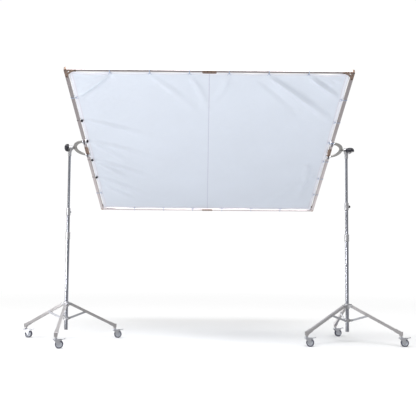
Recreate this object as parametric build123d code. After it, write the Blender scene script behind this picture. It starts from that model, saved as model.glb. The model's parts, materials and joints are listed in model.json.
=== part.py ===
from build123d import *
import os
from math import acos, atan2, cos, degrees, hypot, radians, sin

# An overhead scrim frame on two wheeled stands.  Millimetres, +Z up, +X to the right,
# +Y to the back.  The origin is on the floor, half way between the two columns.

# Scrim frame: a square of square tube that tilts about X between the stands
FRAME = 2438.4  # eight feet, outside to outside
TUBE = 25.4
TUBE_WALL = 1.6
GUSSET = 104.0  # length of a corner gusset along each tube
PLATE = 3.0  # thickness of the gussets and splice plates
TILT = 64.9  # how far the top edge leans forward from upright, in degrees
PIVOT_Z = 1888.5  # height of the tilt axis
EAR_LIFT = 30.0  # the tilt axis lies this far above the frame's middle, along the frame

# Fabric and its ties
FABRIC = 2360.0
FABRIC_THICK = 1.0
HEM_INSET = 11.0  # from the fabric's edge to a grommet's centre
SPACES = 7  # grommet spaces along one edge
GROMMET_R = 5.5
TIE_R = 1.6

# Ears: flat half rings that carry the studs
EAR_OUT = 1330.0  # outermost point of the ring, from the middle
EAR_HALF = 130.0  # half of its length along the side tube
EAR_WIDTH = 34.0
EAR_THICK = 8.0
CLAMP_WALL = 6.3
CLAMP_LENGTH = 38.0
STUD_R = 8.0
STUD_END = {"left": 1351.0, "right": 1357.0}

# Stands
STAND_X = 1368.0
SIDES = {"left": -1, "right": 1}
LOWER_R, MID_R, TOP_R = 17.5, 15.0, 12.5
COLUMN_WALL = 2.0
SLIP = 0.05  # running clearance on the radius
COLUMN_BOTTOM = 107.0
LOWER_TOP = 1055.0
COLLAR_HEIGHT = 70.0
MID_SHOWN = {"left": 165.0, "right": 240.0}  # of the middle tube, between the collars
MID_LENGTH = 930.0
TOP_BOTTOM = 950.0
TOP_TOP = 1838.0
LUG_Y = -65.0  # the right head's clamp screw, in front of the column
SCREW_RISE = 34.0  # a collar's lock screw, above the collar's bottom
HEAD_LOW = 1806.0  # bottom of the sleeve on the top tube
SLEEVE_R = 16.5
LEFT_KNOB_X = -12.5  # where the left head's knob starts, from the column's axis
RIGHT_KNOB = (20.0, LUG_Y, 1863.0)  # where the right head's knob starts
# way that each lock screw points, seen from above; the hub's is set between two of its legs
KNOB_TURN = {
    "left": {"lower": 95.0, "upper": 80.0},
    "right": {"lower": 75.0, "upper": 38.0},
}

# Base
LEG_ANGLES = {"left": 31.5, "right": -28.0}  # of each stand's first leg, seen from above
HUB_Z = 357.0
BRACE_Z = 218.5
PIVOT_R = 40.0  # leg and brace pivots, from the column's axis
STEM_R = 515.0  # caster stems, from the column's axis
LEG_END_Z = 123.0
LEG_SIZE = 25.0
BRACE_ALONG = 190.0  # brace pivot on the leg, from the hub pivot
BOLT_R = 4.0
FOLDED = 70.0  # slope of a folded leg, in degrees below the horizontal

# Casters
WHEEL_R = 37.5
WHEEL_WIDTH = 25.0
TRAIL = 32.0
STEM_PIN_R = 5.5
TURNED = {"left": (8.0, -12.0, 4.0), "right": (-6.0, 14.0, -10.0)}  # way each caster trails
PEDAL_X, PEDAL_Z = 52.0, 78.0  # the pedal's pin
PEDAL_PIN_R = 2.5
PEDAL_LIFT = 8.0  # slope of the tread at rest, in degrees
SHOE_DROP = 7.5  # the shoe ends this far below the pin, clear of the tyre when pressed

DROP = LEG_END_Z - HUB_Z
REACH = STEM_R - PIVOT_R
LEG_SLOPE = degrees(atan2(-DROP, REACH))
LEG_LENGTH = hypot(REACH, DROP)
BRACE_RISE = HUB_Z - BRACE_Z - BRACE_ALONG * sin(radians(LEG_SLOPE))
BRACE_RUN = BRACE_ALONG * cos(radians(LEG_SLOPE))
BRACE_LENGTH = hypot(BRACE_RUN, BRACE_RISE)
BRACE_SLOPE = degrees(atan2(BRACE_RISE, BRACE_RUN))
BRACE_FOLDED = degrees(acos(BRACE_ALONG * cos(radians(FOLDED)) / BRACE_LENGTH))
HUB_TRAVEL = (
    BRACE_ALONG * sin(radians(FOLDED)) + BRACE_LENGTH * sin(radians(BRACE_FOLDED)) - HUB_Z + BRACE_Z
)


def rod(radius, length, at, along="Z"):
    """A cylinder that starts at a point and runs along an axis."""
    turn = {"Z": (0, 0, 0), "X": (0, 90, 0), "Y": (-90, 0, 0)}[along]
    align = (Align.CENTER, Align.CENTER, Align.MIN)
    return Location(at, turn) * Cylinder(radius, length, align=align)


def block(low, high):
    """A box between two corners."""
    size = [b - a for a, b in zip(low, high)]
    return Pos(*low) * Box(*size, align=(Align.MIN, Align.MIN, Align.MIN))


def square_tube(start, end, size, wall):
    """A hollow square tube along X, centred on the X axis."""
    half = size / 2
    inner = half - wall
    body = block((start, -half, -half), (end, half, half))
    return body - block((start - 1, -inner, -inner), (end + 1, inner, inner))


def round_tube(radius, bore, low, high):
    """A hollow round tube along Z."""
    return rod(radius, high - low, (0, 0, low)) - rod(bore, high - low + 2, (0, 0, low - 1))


def plate(outline, thickness, y):
    """A plate parallel to XZ, from y to y + thickness."""
    return extrude(Plane.XZ.offset(-y) * outline, -thickness)


def column(side):
    """Where a stand's axis meets the floor."""
    return Pos(SIDES[side] * STAND_X, 0, 0)


def leg_place(side, number):
    """A stand's frame, turned so that X points along a leg."""
    return column(side) * Rot(0, 0, LEG_ANGLES[side] + 120 * number)


def tilted(local):
    """From the flat frame (X right, Y to the top edge, Z out of the lower face) to its place."""
    return Pos(0, 0, PIVOT_Z) * Rot(90 + TILT, 0, 0) * Pos(0, -EAR_LIFT, 0) * local


# Scrim frame --------------------------------------------------------------------------------
def frame_tubes():
    """Two half tubes along each side, between the corner blocks and the splices."""
    half = square_tube(0, FRAME / 2 - TUBE, TUBE, TUBE_WALL)
    sides = []
    for turn in range(0, 360, 90):
        for end in (0, 180):
            sides.append(Rot(0, 0, turn) * Pos(0, FRAME / 2 - TUBE / 2, 0) * Rot(0, 0, end) * half)
    return [tilted(side) for side in sides]


def corner_block():
    """A rounded block that closes a corner, with a spigot into each tube; corner at the origin."""
    body = block((-TUBE, -TUBE, -TUBE / 2), (0, 0, TUBE / 2))
    body = fillet(body.edges().filter_by(Axis.Z).sort_by(Axis.X)[-2:].sort_by(Axis.Y)[-1], 18)
    inner = TUBE / 2 - TUBE_WALL
    spigot = block((-TUBE - 40, -inner, -inner), (-TUBE, inner, inner))
    body += Pos(0, -TUBE / 2, 0) * spigot
    body += Pos(-TUBE / 2, 0, 0) * Rot(0, 0, 90) * spigot
    return body


def gusset():
    """A flat corner plate with a curved inner edge and a slot; the corner is at the origin."""
    outline = make_face(
        Polyline((-3, -3), (-3, -GUSSET), (-24, -GUSSET))
        + ThreePointArc((-24, -GUSSET), (-48, -48), (-GUSSET, -24))
        + Polyline((-GUSSET, -24), (-GUSSET, -3), (-3, -3))
    )
    slot = Pos(-33, -33) * Rot(0, 0, -45) * SlotOverall(38, 10)
    return extrude(outline - slot, PLATE)


def corners():
    """Corner blocks, with a gusset below each top corner and one above each bottom corner."""
    pieces = []
    for number in range(4):
        place = Rot(0, 0, 90 * number) * Pos(FRAME / 2, FRAME / 2, 0)
        pieces.append(tilted(place * corner_block()))
        face = TUBE / 2 if number < 2 else -TUBE / 2 - PLATE
        pieces.append(tilted(place * Pos(0, 0, face) * gusset()))
    return pieces


def splices():
    """At the middle of each side: a plate on the lower face and a sleeve inside the tubes."""
    outline = RectangleRounded(120, 37, 12)
    cover = Pos(0, -5.8, TUBE / 2) * extrude(outline, PLATE)
    inner = TUBE - 2 * TUBE_WALL
    sleeve = Box(130, inner, inner) - Box(132, inner - 4, inner - 4)
    pieces = []
    for turn in range(0, 360, 90):
        place = Rot(0, 0, turn) * Pos(0, FRAME / 2 - TUBE / 2, 0)
        pieces += [tilted(place * cover), tilted(place * sleeve)]
    return pieces


def bolt_head(radius, height):
    """A hexagon head standing on the XY plane."""
    return extrude(RegularPolygon(radius, 6), height)


def frame_bolts():
    """Hexagon heads on the splice plates, the gussets and the ear clamps."""
    pieces = []
    for turn in range(0, 360, 90):
        place = Rot(0, 0, turn) * Pos(0, FRAME / 2 - TUBE / 2, TUBE / 2 + PLATE)
        pieces += [tilted(place * Pos(x, 0, 0) * bolt_head(4.5, 3)) for x in (-44, -16, 16, 44)]
    for number in range(4):
        face = 1 if number < 2 else -1
        place = Rot(0, 0, 90 * number) * Pos(FRAME / 2, FRAME / 2, face * (TUBE / 2 + PLATE))
        turned = Rot(0 if face > 0 else 180, 0, 0)
        middle, end = TUBE / 2, GUSSET - 12
        for x, y, radius in ((middle, middle, 6.5), (end, middle, 4.5), (middle, end, 4.5)):
            pieces.append(tilted(place * Pos(-x, -y, 0) * turned * bolt_head(radius, 4)))
    face = TUBE / 2 + CLAMP_WALL
    for sign in (-1, 1):
        for end in (-1, 1):
            place = Pos(sign * (FRAME / 2 - TUBE / 2), EAR_LIFT + end * ear_clamp_y(), face)
            pieces += [tilted(place * Pos(0, y, 0) * bolt_head(7, 6)) for y in (-12, 12)]
    return pieces


def ear_clamp_y():
    """Distance of each ear clamp from the tilt axis, along the side tube."""
    return EAR_HALF - EAR_WIDTH / 2


def ear(side):
    """A flat half ring with a stud on its outermost point; the tilt axis is the X axis."""
    foot = FRAME / 2 - 8
    out = EAR_OUT - foot
    ring = Ellipse(out, EAR_HALF) - Ellipse(out - EAR_WIDTH, EAR_HALF - EAR_WIDTH)
    kept = Pos(FRAME / 2 + CLAMP_WALL - foot, 0) * Rectangle(
        out, 2 * EAR_HALF, align=(Align.MIN, Align.CENTER)
    )
    body = Pos(foot, EAR_LIFT, -EAR_THICK / 2) * extrude(ring & kept, EAR_THICK)
    start = EAR_OUT - EAR_WIDTH + 4
    body += rod(STUD_R, STUD_END[side] - start, (start, EAR_LIFT, 0), "X")
    body += rod(14, 8, (EAR_OUT - 8, EAR_LIFT, 0), "X")
    turned = Rot(0, 0 if side == "right" else 180, 0)
    return tilted(turned * body)


def ear_clamps():
    """Square clamps round the side tubes, one at each end of each ear."""
    outer = TUBE + 2 * CLAMP_WALL
    ring = Box(outer, CLAMP_LENGTH, outer) - Box(TUBE, CLAMP_LENGTH + 2, TUBE)
    ring = chamfer(ring.edges().filter_by(Axis.Y).group_by(SortBy.DISTANCE)[-1], 3)
    pieces = []
    for sign in (-1, 1):
        for end in (-1, 1):
            place = Pos(sign * (FRAME / 2 - TUBE / 2), EAR_LIFT + end * ear_clamp_y(), 0)
            pieces.append(tilted(place * ring))
    return pieces


def grommet_places():
    """Where the grommets lie: the inner ones of each edge, in the flat frame, with the edge's turn."""
    out = FABRIC / 2 - HEM_INSET
    pitch = 2 * out / SPACES
    for turn in range(0, 360, 90):
        for step in range(1, SPACES):
            yield Rot(0, 0, turn) * Pos(-out + pitch * step, out, 0)
        yield Rot(0, 0, turn) * Pos(out, out, 0)


def fabric():
    """The scrim as a plain thin sheet with its grommet holes."""
    body = Box(FABRIC, FABRIC, FABRIC_THICK)
    holes = [place * Cylinder(GROMMET_R, 4) for place in grommet_places()]
    return tilted(body - holes)


def tie(across):
    """A plain closed loop round the tube and through a grommet at the origin, across by Y."""
    outer = TUBE / 2 + 2 * TIE_R + 0.4
    ring = RectangleRounded(across + 2 * TIE_R, 2 * outer, 6)
    ring -= RectangleRounded(across - 2 * TIE_R, 2 * outer - 4 * TIE_R, 0.5)
    return Pos(0, across / 2, 0) * extrude(Plane.YZ * ring, TIE_R, both=True)


def ties():
    """One loop of cord at each grommet along the edges."""
    out = FABRIC / 2 - HEM_INSET
    across = FRAME / 2 - out + TIE_R + 0.4
    pitch = 2 * out / SPACES
    loop = tie(across)
    pieces = []
    for turn in range(0, 360, 90):
        for step in range(1, SPACES):
            place = Rot(0, 0, turn) * Pos(-out + pitch * step, out, 0)
            pieces.append(tilted(place * loop))
    return pieces


# Columns ------------------------------------------------------------------------------------
def lower_tubes():
    """The bottom tube of each column."""
    tube = round_tube(LOWER_R, LOWER_R - COLUMN_WALL, COLUMN_BOTTOM + 6, LOWER_TOP - 10)
    return [column(side) * tube for side in SIDES]


def column_feet():
    """A plastic plug that closes the bottom of each column."""
    plug = rod(LOWER_R, 6, (0, 0, COLUMN_BOTTOM))
    plug = fillet(plug.edges().group_by(Axis.Z)[0], 3)
    plug += rod(LOWER_R - COLUMN_WALL, 18, (0, 0, COLUMN_BOTTOM + 6))
    return [column(side) * plug for side in SIDES]


def lock_collar(outer, tube_r, slide_r, bottom, knob_turn):
    """A lock collar: it sits on one tube's top end and guides the next; a screw hole in a boss."""
    body = rod(outer, COLLAR_HEIGHT, (0, 0, bottom))
    body = chamfer(body.edges().group_by(Axis.Z)[-1], 2)
    body = chamfer(body.edges().group_by(Axis.Z)[0], 2)
    for low in (14, 44):
        body -= round_tube(outer + 1, outer - 1.2, bottom + low, bottom + low + 10)
    boss = rod(9, outer + 6, (0, 0, 0), "X")
    turn = Rot(0, 0, knob_turn)
    body += Pos(0, 0, bottom + SCREW_RISE) * turn * boss
    body -= rod(tube_r, COLLAR_HEIGHT - 10 + 1, (0, 0, bottom - 1))
    body -= rod(slide_r + SLIP, 12, (0, 0, bottom + COLLAR_HEIGHT - 11))
    body -= Pos(0, 0, bottom + SCREW_RISE) * turn * rod(BOLT_R + SLIP, outer + 8, (0, 0, 0), "X")
    return body


def screw_knob(start, grip_at, grip_r, grip_long, lobes):
    """A screw along X from start, with a lobed grip of length grip_long at grip_at."""
    body = rod(BOLT_R, grip_at - start, (start, 0, 0), "X")
    grip = rod(grip_r, grip_long, (grip_at, 0, 0), "X")
    for number in range(lobes):
        flute = Rot(360 / lobes * number, 0, 0) * rod(
            grip_r * 0.28, grip_long + 2, (grip_at - 1, 0, grip_r * 1.12), "X"
        )
        grip -= flute
    grip = fillet(grip.edges().group_by(Axis.X)[-1], 1.5)
    return body + grip + rod(grip_r * 0.5, 3, (grip_at - 3, 0, 0), "X")


def lower_collars():
    """The collar on each lower tube."""
    pieces = []
    for side in SIDES:
        turn = KNOB_TURN[side]["lower"]
        collar = lock_collar(22.5, LOWER_R, MID_R, LOWER_TOP - COLLAR_HEIGHT, turn)
        pieces.append(column(side) * collar)
    return pieces


def collar_knob(side, level):
    """The lock screw of a collar, with a lobed black grip."""
    if level == "lower":
        bottom, tube_r, outer = LOWER_TOP - COLLAR_HEIGHT, LOWER_R, 22.5
    else:
        bottom, tube_r, outer = LOWER_TOP + MID_SHOWN[side], MID_R, 20.5
    knob = screw_knob(tube_r + 0.3, outer + 9.5, 13, 13, 5)
    place = column(side) * Pos(0, 0, bottom + SCREW_RISE) * Rot(0, 0, KNOB_TURN[side][level])
    return place * knob


def mid_tube(side):
    """The middle tube, with a guide ring at its bottom end."""
    top = LOWER_TOP + MID_SHOWN[side] + COLLAR_HEIGHT - 10
    bottom = top - MID_LENGTH
    bore = MID_R - COLUMN_WALL
    tube = round_tube(MID_R, bore, bottom, top)
    ring = round_tube(LOWER_R - COLUMN_WALL - SLIP, bore, bottom, bottom + 20)
    return column(side) * (tube + ring)


def upper_collar(side):
    """The collar on the middle tube."""
    bottom = LOWER_TOP + MID_SHOWN[side]
    return column(side) * lock_collar(20.5, MID_R, TOP_R, bottom, KNOB_TURN[side]["upper"])


def top_tube(side):
    """The top tube, with a guide ring at its bottom end."""
    bore = TOP_R - COLUMN_WALL
    tube = round_tube(TOP_R, bore, TOP_BOTTOM, TOP_TOP)
    ring = round_tube(MID_R - COLUMN_WALL - SLIP, bore, TOP_BOTTOM, TOP_BOTTOM + 20)
    return column(side) * (tube + ring)


# Heads --------------------------------------------------------------------------------------
def head_sleeve():
    """The sleeve that sits on the top tube, and the set screw in its front."""
    sleeve = rod(SLEEVE_R, 44, (0, 0, HEAD_LOW))
    screw = Pos(0, 0.5 - SLEEVE_R, HEAD_LOW + 22) * Rot(90, 0, 0) * bolt_head(6, 6)
    return sleeve, screw


def tube_socket():
    """The hole in a head that the top tube sits in."""
    return rod(TOP_R, TOP_TOP - HEAD_LOW + 1, (0, 0, HEAD_LOW - 1))


def left_head():
    """A casting that leans in from the column to a socket for the stud."""
    sleeve, screw = head_sleeve()
    low = Plane.XY.offset(TOP_TOP) * Circle(SLEEVE_R)
    high = Plane.XY.offset(1874) * Pos(13, 0) * Circle(15)
    body = sleeve + loft([low, high]) + rod(21, 36, (-4, 0, PIVOT_Z), "X")
    body -= rod(STUD_R + SLIP, 30, (3, 0, PIVOT_Z), "X")
    body -= rod(BOLT_R + SLIP, 20, (-5, 0, PIVOT_Z), "X")
    body -= tube_socket()
    return [column("left") * body, column("left") * screw]


def right_head():
    """A funnel-shaped casting with a cross socket for the stud and a lug in front for the screw."""
    sleeve, screw = head_sleeve()
    align = (Align.CENTER, Align.CENTER, Align.MIN)
    funnel = Pos(0, 0, TOP_TOP) * Cone(SLEEVE_R, 27, 24, align=align) + rod(20, 18, (0, 0, TOP_TOP + 24))
    body = sleeve + funnel + rod(20, 46, (-24, 0, PIVOT_Z), "X")
    lug = block((4, LUG_Y - 16, 1850), (36, 0, 1861))
    body += fillet(lug.edges().filter_by(Axis.Z), 10)
    body -= rod(STUD_R + SLIP, 16, (-25, 0, PIVOT_Z), "X")
    body -= rod(BOLT_R + SLIP, 14, (20, LUG_Y, 1849))
    body -= tube_socket()
    return [column("right") * body, column("right") * screw]


def dome_knob(radius, depth, screw):
    """A big round black knob: a fluted dome along Z with a screw below it."""
    knob = rod(radius, depth, (0, 0, 0))
    knob = fillet(knob.edges().group_by(Axis.Z)[-1], depth - 11)
    for number in range(12):
        knob -= Rot(0, 0, 30 * number) * rod(4, 10, (radius + 2.5, 0, -1))
    return knob + rod(BOLT_R, screw + 1, (0, 0, -screw))


def head_knob(side):
    """The knob that clamps the stud in the head."""
    if side == "left":
        return column(side) * Pos(LEFT_KNOB_X, 0, PIVOT_Z) * Rot(0, -90, 0) * dome_knob(38, 37, 27)
    return column(side) * Pos(*RIGHT_KNOB) * dome_knob(42, 38, 20)


# Base ---------------------------------------------------------------------------------------
def hub(side):
    """The sliding hub: a ring on the column, a pair of ears for each leg and a knob boss."""
    ring = rod(26, 46, (0, 0, HUB_Z - 23))
    ring = fillet(ring.edges().group_by(Axis.Z)[-1], 3)
    ear_outline = Pos(PIVOT_R, HUB_Z) * Circle(13) + Pos(PIVOT_R - 10, HUB_Z) * Rectangle(20, 26)
    bolts = []
    for number in range(3):
        turn = Rot(0, 0, 120 * number)
        for y in (-17.6, 12.6):
            ring += turn * plate(ear_outline, 5, y)
        ring -= turn * rod(BOLT_R, 40, (PIVOT_R, -20, HUB_Z), "Y")
        shank = rod(BOLT_R, 35.2, (PIVOT_R, -17.6, HUB_Z), "Y")
        heads = rod(8, 4, (PIVOT_R, 17.6, HUB_Z), "Y") + rod(8, 4, (PIVOT_R, -21.6, HUB_Z), "Y")
        bolts.append(turn * (shank + heads))
    ring += Rot(0, 0, 60) * rod(9, 33, (0, 0, HUB_Z), "X")
    ring -= Rot(0, 0, 60) * rod(BOLT_R + SLIP, 40, (0, 0, HUB_Z), "X")
    ring -= rod(LOWER_R + SLIP, 60, (0, 0, HUB_Z - 30))
    return [leg_place(side, 0) * piece for piece in [ring] + bolts]


def hub_knob(side):
    """The lock screw of the hub, with a lobed black grip."""
    knob = screw_knob(LOWER_R + 0.3, 36.5, 17, 17, 5)
    return leg_place(side, 0) * Rot(0, 0, 60) * Pos(0, 0, HUB_Z) * knob


def leg_frame():
    """From a leg's own frame (X along the leg, from the hub pivot) to the leg's upright plane."""
    return Pos(PIVOT_R, 0, HUB_Z) * Rot(0, LEG_SLOPE, 0)


def leg(side, number):
    """A square leg tube, its eye in the hub, the brace rivet and the end casting with its stem."""
    half = LEG_SIZE / 2
    tube = square_tube(16, LEG_LENGTH - 14, LEG_SIZE, 2)
    eye = rod(half, LEG_SIZE, (0, -half, 0), "Y") + block((0, -half, -half), (16, half, half))
    eye += block((16, -half + 2, -half + 2), (40, half - 2, half - 2))
    eye -= rod(BOLT_R + SLIP, 40, (0, -20, 0), "Y")
    rivet = rod(BOLT_R, 5.4, (BRACE_ALONG, half, 0), "Y")
    rivet += rod(7, 2.4, (BRACE_ALONG, half + 5, 0), "Y")
    collar = block((LEG_LENGTH - 60, -half - 2.5, -half - 2.5), (LEG_LENGTH - 14, half + 2.5, half + 2.5))
    collar -= block((LEG_LENGTH - 61, -half, -half), (LEG_LENGTH - 14, half, half))
    end = leg_frame() * collar + Pos(STEM_R, 0, 0) * block((-16, -15, 104), (16, 15, 140))
    end = chamfer(end.edges().filter_by(Axis.Z).sort_by(Axis.X)[-2:], 6)
    end += rod(11, 10, (STEM_R, 0, 94.3))
    end += rod(STEM_PIN_R, 20, (STEM_R, 0, 76))
    pieces = [leg_frame() * piece for piece in (tube, eye, rivet)] + [end]
    return [leg_place(side, number) * piece for piece in pieces]


def brace_collars():
    """The fixed collar at the foot of each column, with a lug for each brace."""
    body = rod(25, 30, (0, 0, BRACE_Z - 15))
    outline = Pos(PIVOT_R, BRACE_Z) * Circle(11) + Pos(PIVOT_R - 9, BRACE_Z) * Rectangle(18, 22)
    for number in range(3):
        turn = Rot(0, 0, 120 * number)
        body += turn * plate(outline, 5, 7.4)
        body += turn * rod(7, 3, (PIVOT_R, 4.4, BRACE_Z), "Y")
    body -= rod(LOWER_R, 40, (0, 0, BRACE_Z - 20))
    return [leg_place(side, 0) * body for side in SIDES]


def brace(side, number):
    """A flat bar from the leg's rivet down to the lug beside the brace collar."""
    bar = Pos(BRACE_LENGTH / 2, 0) * SlotCenterToCenter(BRACE_LENGTH, 20)
    body = plate(bar, 4, 12.9)
    body -= rod(BOLT_R + SLIP, 10, (0, 10, 0), "Y")
    body += rod(7, 2.5, (BRACE_LENGTH, 16.9, 0), "Y")
    slope = 180 - BRACE_SLOPE
    place = Pos(PIVOT_R + BRACE_RUN, 0, BRACE_Z + BRACE_RISE) * Rot(0, slope, 0)
    return leg_place(side, number) * place * body


# Casters ------------------------------------------------------------------------------------
def caster_place(side, number):
    """A caster's own frame: Z up its swivel axis, X the way it trails."""
    stem = leg_place(side, number) * Pos(STEM_R, 0, 0)
    back = Rot(0, 0, -LEG_ANGLES[side] - 120 * number + TURNED[side][number])
    return stem * back


def fork(side, number):
    """A pressed fork: a race round the stem, two cheeks, the axle and the pedal's pin."""
    race = rod(24, 5, (0, 0, 78)) + rod(15, 11, (0, 0, 83))
    race += block((0, -18, 78), (34, 18, 83))
    outline = make_face(
        Polyline(
            (-16, 83), (58, 83), (61, 77), (56, 72), (40, 66), (41, 36), (23, 36), (-16, 76), (-16, 83)
        )
    )
    outline += Pos(TRAIL, WHEEL_R) * Circle(9)
    for y in (-18, 15.5):
        race += plate(outline, 2.5, y)
    race -= rod(STEM_PIN_R + SLIP, 30, (0, 0, 70))
    race -= rod(PEDAL_PIN_R + SLIP, 40, (PEDAL_X, -20, PEDAL_Z), "Y")
    race -= rod(BOLT_R, 40, (TRAIL, -20, WHEEL_R), "Y")
    axle = rod(BOLT_R, 36, (TRAIL, -18, WHEEL_R), "Y")
    axle += rod(7, 4, (TRAIL, 18, WHEEL_R), "Y") + rod(7, 4, (TRAIL, -22, WHEEL_R), "Y")
    return [caster_place(side, number) * piece for piece in (race, axle)]


def wheel(side, number):
    """A wheel: a rounded tyre on a thin web with a wide hub, bored for the axle."""
    half = WHEEL_WIDTH / 2
    body = rod(WHEEL_R, WHEEL_WIDTH, (0, -half, 0), "Y")
    body = fillet(body.edges().filter_by(GeomType.CIRCLE), 5)
    for y in (-half - 1, half - 4):
        body -= rod(27, 5, (0, y, 0), "Y")
    body += rod(10, 29, (0, -14.5, 0), "Y")
    body -= rod(BOLT_R + SLIP, 40, (0, -20, 0), "Y")
    return caster_place(side, number) * Pos(TRAIL, 0, WHEEL_R) * body


def pedal(side, number):
    """The brake pedal: a pin between the cheeks, a tread behind it and a shoe above the tyre."""
    body = rod(PEDAL_PIN_R, 36, (0, -18, 0), "Y") + rod(5, 28, (0, -14, 0), "Y")
    lift = Rot(0, -PEDAL_LIFT, 0)
    body += lift * block((2, -14, 1), (34, 14, 4.5))
    body += lift * block((30, -14, 1), (34, 14, 9))
    body += block((0, -11, -SHOE_DROP), (4, 11, 0))
    return caster_place(side, number) * Pos(PEDAL_X, 0, PEDAL_Z) * body


def save(name, pieces):
    """Write one named sub-part; several separate solids go in one compound."""
    solids = pieces if isinstance(pieces, list) else [pieces]
    shape = solids[0] if len(solids) == 1 else Compound(children=[Part() + s for s in solids])
    shape.label = name
    export_step(shape, f"parts/{name}.step")


def main():
    os.makedirs("parts", exist_ok=True)
    save("frame_tubes", frame_tubes())
    save("frame_corners", corners())
    save("frame_splices", splices())
    save("frame_bolts", frame_bolts())
    save("frame_ears", [ear("left"), ear("right")])
    save("ear_clamps", ear_clamps())
    save("scrim_fabric", fabric())
    save("scrim_ties", ties())
    save("lower_tubes", lower_tubes())
    save("lower_collars", lower_collars())
    save("brace_collars", brace_collars())
    save("column_feet", column_feet())
    save("left_head", left_head())
    save("right_head", right_head())
    for side in SIDES:
        save(f"{side}_mid_tube", mid_tube(side))
        save(f"{side}_upper_collar", upper_collar(side))
        save(f"{side}_top_tube", top_tube(side))
        save(f"{side}_head_knob", head_knob(side))
        save(f"{side}_lower_knob", collar_knob(side, "lower"))
        save(f"{side}_upper_knob", collar_knob(side, "upper"))
        save(f"{side}_hub", hub(side))
        save(f"{side}_hub_knob", hub_knob(side))
        for number in range(3):
            save(f"{side}_leg_{number + 1}", leg(side, number))
            save(f"{side}_brace_{number + 1}", brace(side, number))
            save(f"{side}_fork_{number + 1}", fork(side, number))
            save(f"{side}_wheel_{number + 1}", wheel(side, number))
            save(f"{side}_pedal_{number + 1}", pedal(side, number))


if __name__ == "__main__":
    main()
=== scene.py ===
import json
from math import cos, exp, hypot, pi, radians, sin, tau

import bmesh
import bpy
import numpy as np
from bpy.props import FloatProperty, FloatVectorProperty, IntProperty, PointerProperty
from mathutils import Matrix, Vector, noise


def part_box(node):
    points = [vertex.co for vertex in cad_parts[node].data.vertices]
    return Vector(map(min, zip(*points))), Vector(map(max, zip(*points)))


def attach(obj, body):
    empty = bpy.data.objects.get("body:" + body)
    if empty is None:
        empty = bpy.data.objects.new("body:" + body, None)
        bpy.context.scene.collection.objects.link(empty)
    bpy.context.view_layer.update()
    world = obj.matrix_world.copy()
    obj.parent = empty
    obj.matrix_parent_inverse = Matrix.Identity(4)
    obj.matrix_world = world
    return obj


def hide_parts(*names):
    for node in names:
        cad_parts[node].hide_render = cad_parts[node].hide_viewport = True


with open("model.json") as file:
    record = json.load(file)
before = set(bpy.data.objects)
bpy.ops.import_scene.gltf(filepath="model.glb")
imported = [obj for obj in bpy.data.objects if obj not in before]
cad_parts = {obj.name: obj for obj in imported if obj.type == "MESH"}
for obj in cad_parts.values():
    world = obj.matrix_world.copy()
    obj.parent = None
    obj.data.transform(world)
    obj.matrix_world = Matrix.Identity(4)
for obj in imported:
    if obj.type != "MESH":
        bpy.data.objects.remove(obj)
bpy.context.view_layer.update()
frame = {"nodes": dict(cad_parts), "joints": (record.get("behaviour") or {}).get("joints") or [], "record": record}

bl_info = {
    "name": "Overhead Scrim Frame",
    "version": (1, 0, 0),
    "blender": (4, 5, 0),
    "location": "3D View > Sidebar > Scrim",
    "description": "Cloth, ties, casters, finishes and studio of a tilting scrim frame on two stands",
    "category": "Object",
}

# Places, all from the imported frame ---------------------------
RECORD = frame["record"]
MOUNTS = {mount["name"]: mount for mount in RECORD["mounts"]}
JOINTS = {joint["name"]: joint for joint in frame["joints"]}
STANDS = ("left", "right")
ACROSS = Vector((1, 0, 0))
UPWARD = Vector(MOUNTS["top_rail"]["axis"]).normalized()
OUTWARD = ACROSS.cross(UPWARD)
CLOTH_LOW, CLOTH_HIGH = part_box("scrim_fabric")
CENTRE = (CLOTH_LOW + CLOTH_HIGH) / 2
CLOTH = (CLOTH_HIGH - CLOTH_LOW).x
FRAME_LOW, FRAME_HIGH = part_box("frame_tubes")
FRAME = (FRAME_HIGH - FRAME_LOW).x
TUBE = 0.0254
HEM_INSET = 0.011
SPACES = 7
GROMMETS_OUT = CLOTH / 2 - HEM_INSET
HEM_SPARE = 0.005  # the hem reaches this far past the measured cloth
EDGE = CLOTH / 2 + HEM_SPARE
PITCH = 2 * GROMMETS_OUT / SPACES
INNER_TIES = [GROMMETS_OUT - PITCH * step for step in range(1, SPACES)]
TUBE_MID = FRAME / 2 - TUBE / 2 - GROMMETS_OUT
# the flat frame: X right, Y to the top edge, Z out of the lower face
FLAT = Matrix.Translation(CENTRE) @ Matrix((ACROSS, UPWARD, OUTWARD)).transposed().to_4x4()


def colour_of(name, description, default):
    """A colour setting."""
    return FloatVectorProperty(
        name=name, description=description, subtype="COLOR", size=3, default=default
    )


def amount_of(name, description, default, **more):
    """A setting with one number."""
    return FloatProperty(name=name, description=description, default=default, **more)


def length_of(name, description, default):
    """A length setting, in metres."""
    return amount_of(name, description, default, unit="LENGTH")


# Shader maths ------------------------------------------------
class Wire:
    """An output socket that can stand in a sum; each sum adds the Math nodes it needs."""

    def __init__(self, maker, socket):
        self.maker = maker
        self.socket = socket

    def __add__(self, other):
        return self.maker.math("ADD", self, other)

    def __radd__(self, other):
        return self.maker.math("ADD", other, self)

    def __sub__(self, other):
        return self.maker.math("SUBTRACT", self, other)

    def __rsub__(self, other):
        return self.maker.math("SUBTRACT", other, self)

    def __mul__(self, other):
        return self.maker.math("MULTIPLY", self, other)

    def __rmul__(self, other):
        return self.maker.math("MULTIPLY", other, self)

    def __pow__(self, other):
        return self.maker.math("POWER", self, other)


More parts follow.
